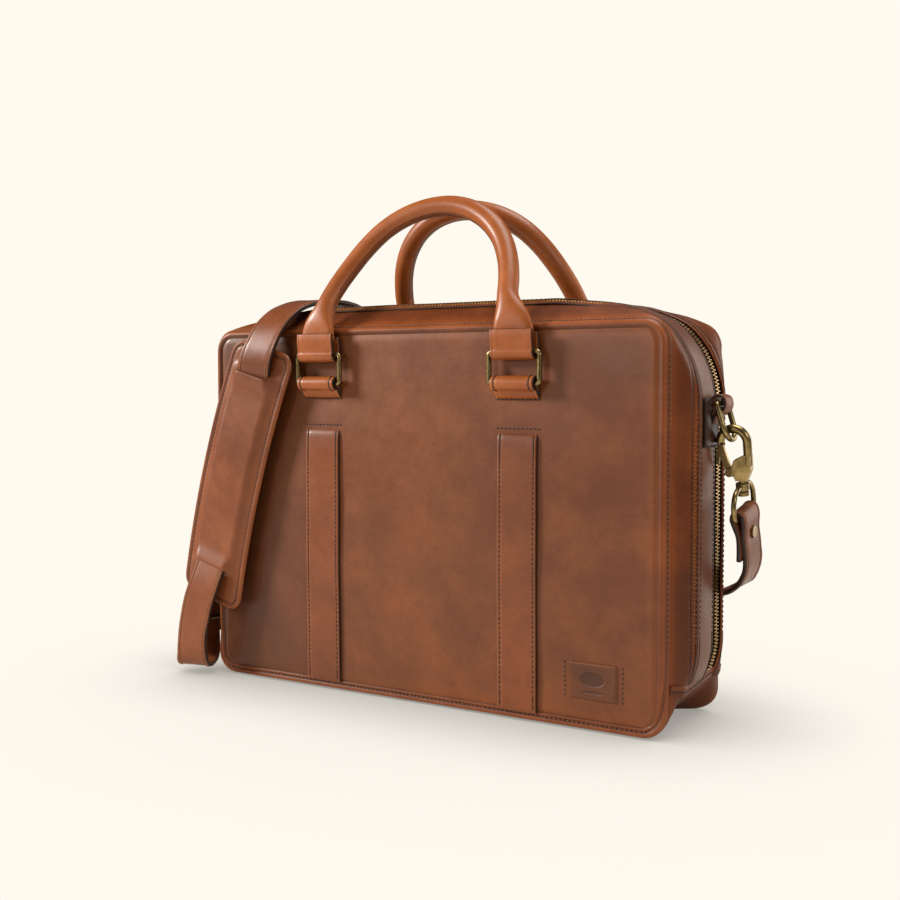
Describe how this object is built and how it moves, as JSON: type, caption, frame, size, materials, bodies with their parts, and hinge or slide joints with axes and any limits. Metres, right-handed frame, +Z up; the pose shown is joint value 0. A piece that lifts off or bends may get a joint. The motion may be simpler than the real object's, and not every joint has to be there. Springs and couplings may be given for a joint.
{
  "type": "leather briefcase",
  "caption": "Zip-top leather briefcase with two compartments that fold open, rolled handles on rings, and a clipped shoulder strap with a sliding adjuster and a pad.",
  "frame": {"origin": "centre of the base, on the floor", "axes": "+Z up, the front panel faces -Y, +X is to the right seen from the front"},
  "size_m": [0.4782, 0.1677, 0.3826],
  "materials": {
    "body_leather": "waxed full-grain leather, semi-gloss",
    "edge_leather": "lighter waxed leather, semi-gloss",
    "strap_leather": "waxed strap leather with painted edges",
    "brass": "antique brass, brushed",
    "zip_tape": "woven zip tape",
    "lining_cloth": "cotton twill",
    "board": "stiffening board",
    "rope": "twisted cotton rope"
  },
  "bodies": {
    "bag": {"bottom_gusset": "body_leather", "base_board": "board", "middle_band": "body_leather", "divider_panel": "lining_cloth", "laptop_sleeve": "lining_cloth", "document_pocket": "lining_cloth", "front_zip_inner_tape": "zip_tape", "front_zip_inner_teeth": "brass", "rear_zip_inner_tape": "zip_tape", "rear_zip_inner_teeth": "brass", "left_side_tab": "strap_leather", "right_side_tab": "strap_leather", "left_swivel_eye": "brass", "right_swivel_eye": "brass", "strap_right_end": "strap_leather", "strap_over_top": "strap_leather", "strap_left_loop": "strap_leather", "strap_rivets": "brass"},
    "front_side": {"front_panel": "body_leather", "front_board": "board", "front_lining": "lining_cloth", "front_piping": "edge_leather", "front_gusset": "edge_leather", "front_trim_straps": "strap_leather", "front_chapes": "edge_leather", "leather_patch": "strap_leather", "front_zip_outer_tape": "zip_tape", "front_zip_outer_teeth": "brass", "strap_front": "strap_leather", "shoulder_pad": "body_leather"},
    "rear_side": {"back_panel": "body_leather", "back_board": "board", "back_lining": "lining_cloth", "back_piping": "edge_leather", "rear_gusset": "edge_leather", "back_trim_straps": "strap_leather", "back_chapes": "edge_leather", "rear_zip_outer_tape": "zip_tape", "rear_zip_outer_teeth": "brass", "strap_back": "strap_leather"},
    "front_ring_left": {"front_left_ring": "brass"},
    "front_ring_right": {"front_right_ring": "brass"},
    "front_handle": {"front_handle_cover": "edge_leather", "front_handle_core": "rope"},
    "rear_ring_left": {"rear_left_ring": "brass"},
    "rear_ring_right": {"rear_right_ring": "brass"},
    "rear_handle": {"rear_handle_cover": "edge_leather", "rear_handle_core": "rope"},
    "side_ring_left": {"left_side_ring": "brass"},
    "side_ring_right": {"right_side_ring": "brass"},
    "hook_left": {"left_snap_hook": "brass"},
    "hook_right": {"right_snap_hook": "brass"},
    "gate_left": {"left_hook_gate": "brass"},
    "gate_right": {"right_hook_gate": "brass"},
    "slider_front": {"front_zip_slider": "brass"},
    "slider_rear": {"rear_zip_slider": "brass"},
    "pull_front": {"front_zip_pull": "brass"},
    "pull_rear": {"rear_zip_pull": "brass"},
    "adjuster": {"strap_adjuster": "brass"}
  },
  "joints": [
    {"name": "front_side_opens", "type": "hinge", "parent": "bag", "child": "front_side", "pos_m": [0, -0.0485, 0.0035], "axis": [1, 0, 0], "range_deg": [0, 20]},
    {"name": "front_ring_swings", "type": "hinge", "parent": "front_side", "child": "front_ring_left", "pos_m": [-0.087, -0.057, 0.24], "axis": [1, 0, 0], "range_deg": [0, 130]},
    {"name": "front_right_ring_swings", "type": "hinge", "parent": "front_side", "child": "front_ring_right", "pos_m": [0.087, -0.057, 0.24], "axis": [1, 0, 0], "range_deg": [0, 130]},
    {"name": "front_handle_turns", "type": "hinge", "parent": "front_ring_left", "child": "front_handle", "pos_m": [0, -0.057, 0.262], "axis": [1, 0, 0], "range_deg": [0, 50]},
    {"name": "rear_side_opens", "type": "hinge", "parent": "bag", "child": "rear_side", "pos_m": [0, 0.0485, 0.0035], "axis": [-1, 0, 0], "range_deg": [0, 30]},
    {"name": "rear_ring_swings", "type": "hinge", "parent": "rear_side", "child": "rear_ring_left", "pos_m": [-0.087, 0.057, 0.24], "axis": [-1, 0, 0], "range_deg": [0, 130]},
    {"name": "rear_right_ring_swings", "type": "hinge", "parent": "rear_side", "child": "rear_ring_right", "pos_m": [0.087, 0.057, 0.24], "axis": [-1, 0, 0], "range_deg": [0, 130]},
    {"name": "rear_handle_turns", "type": "hinge", "parent": "rear_ring_left", "child": "rear_handle", "pos_m": [0, 0.057, 0.262], "axis": [-1, 0, 0], "range_deg": [0, 40]},
    {"name": "left_side_ring_swings", "type": "hinge", "parent": "bag", "child": "side_ring_left", "pos_m": [-0.2182, 0, 0.226], "axis": [0, 1, 0], "range_deg": [-3, 5]},
    {"name": "left_hook_swivels", "type": "hinge", "parent": "bag", "child": "hook_left", "pos_m": [-0.231, -0.00443, 0.17031], "axis": [0, 0.1392, 0.9903], "range_deg": [-12, 12]},
    {"name": "left_gate_opens", "type": "hinge", "parent": "hook_left", "child": "gate_left", "pos_m": [-0.2226, -0.00324, 0.17873], "axis": [0, -0.9903, 0.1392], "range_deg": [0, 22], "stiffness_Nm_per_rad": 0.02, "springref_deg": -34.38},
    {"name": "right_side_ring_swings", "type": "hinge", "parent": "bag", "child": "side_ring_right", "pos_m": [0.2182, 0, 0.226], "axis": [0, -1, 0], "range_deg": [-3, 5]},
    {"name": "right_hook_swivels", "type": "hinge", "parent": "bag", "child": "hook_right", "pos_m": [0.231, 0.00661, 0.1707], "axis": [0, -0.2079, 0.9781], "range_deg": [-12, 12]},
    {"name": "right_gate_opens", "type": "hinge", "parent": "hook_right", "child": "gate_right", "pos_m": [0.2226, 0.00485, 0.17901], "axis": [0, 0.9781, 0.2079], "range_deg": [0, 22], "stiffness_Nm_per_rad": 0.02, "springref_deg": -34.38},
    {"name": "front_zip_slides", "type": "slide", "parent": "bag", "child": "slider_front", "axis": [0, 0, 1], "range_m": [0, 0.165]},
    {"name": "front_pull_swings", "type": "hinge", "parent": "slider_front", "child": "pull_front", "pos_m": [-0.2154, -0.02, 0.054], "axis": [0, 1, 0], "range_deg": [0, 170]},
    {"name": "rear_zip_slides", "type": "slide", "parent": "bag", "child": "slider_rear", "axis": [0, 0, 1], "range_m": [0, 0.165]},
    {"name": "rear_pull_swings", "type": "hinge", "parent": "slider_rear", "child": "pull_rear", "pos_m": [-0.2154, 0.02, 0.054], "axis": [0, 1, 0], "range_deg": [0, 170]},
    {"name": "adjuster_slides", "type": "slide", "parent": "bag", "child": "adjuster", "axis": [0, 0, 1], "range_m": [0, 0.009]}
  ],
  "couplings": [
    {"joint": "front_right_ring_swings", "follows": "front_ring_swings", "ratio": 1},
    {"joint": "rear_right_ring_swings", "follows": "rear_ring_swings", "ratio": 1}
  ]
}
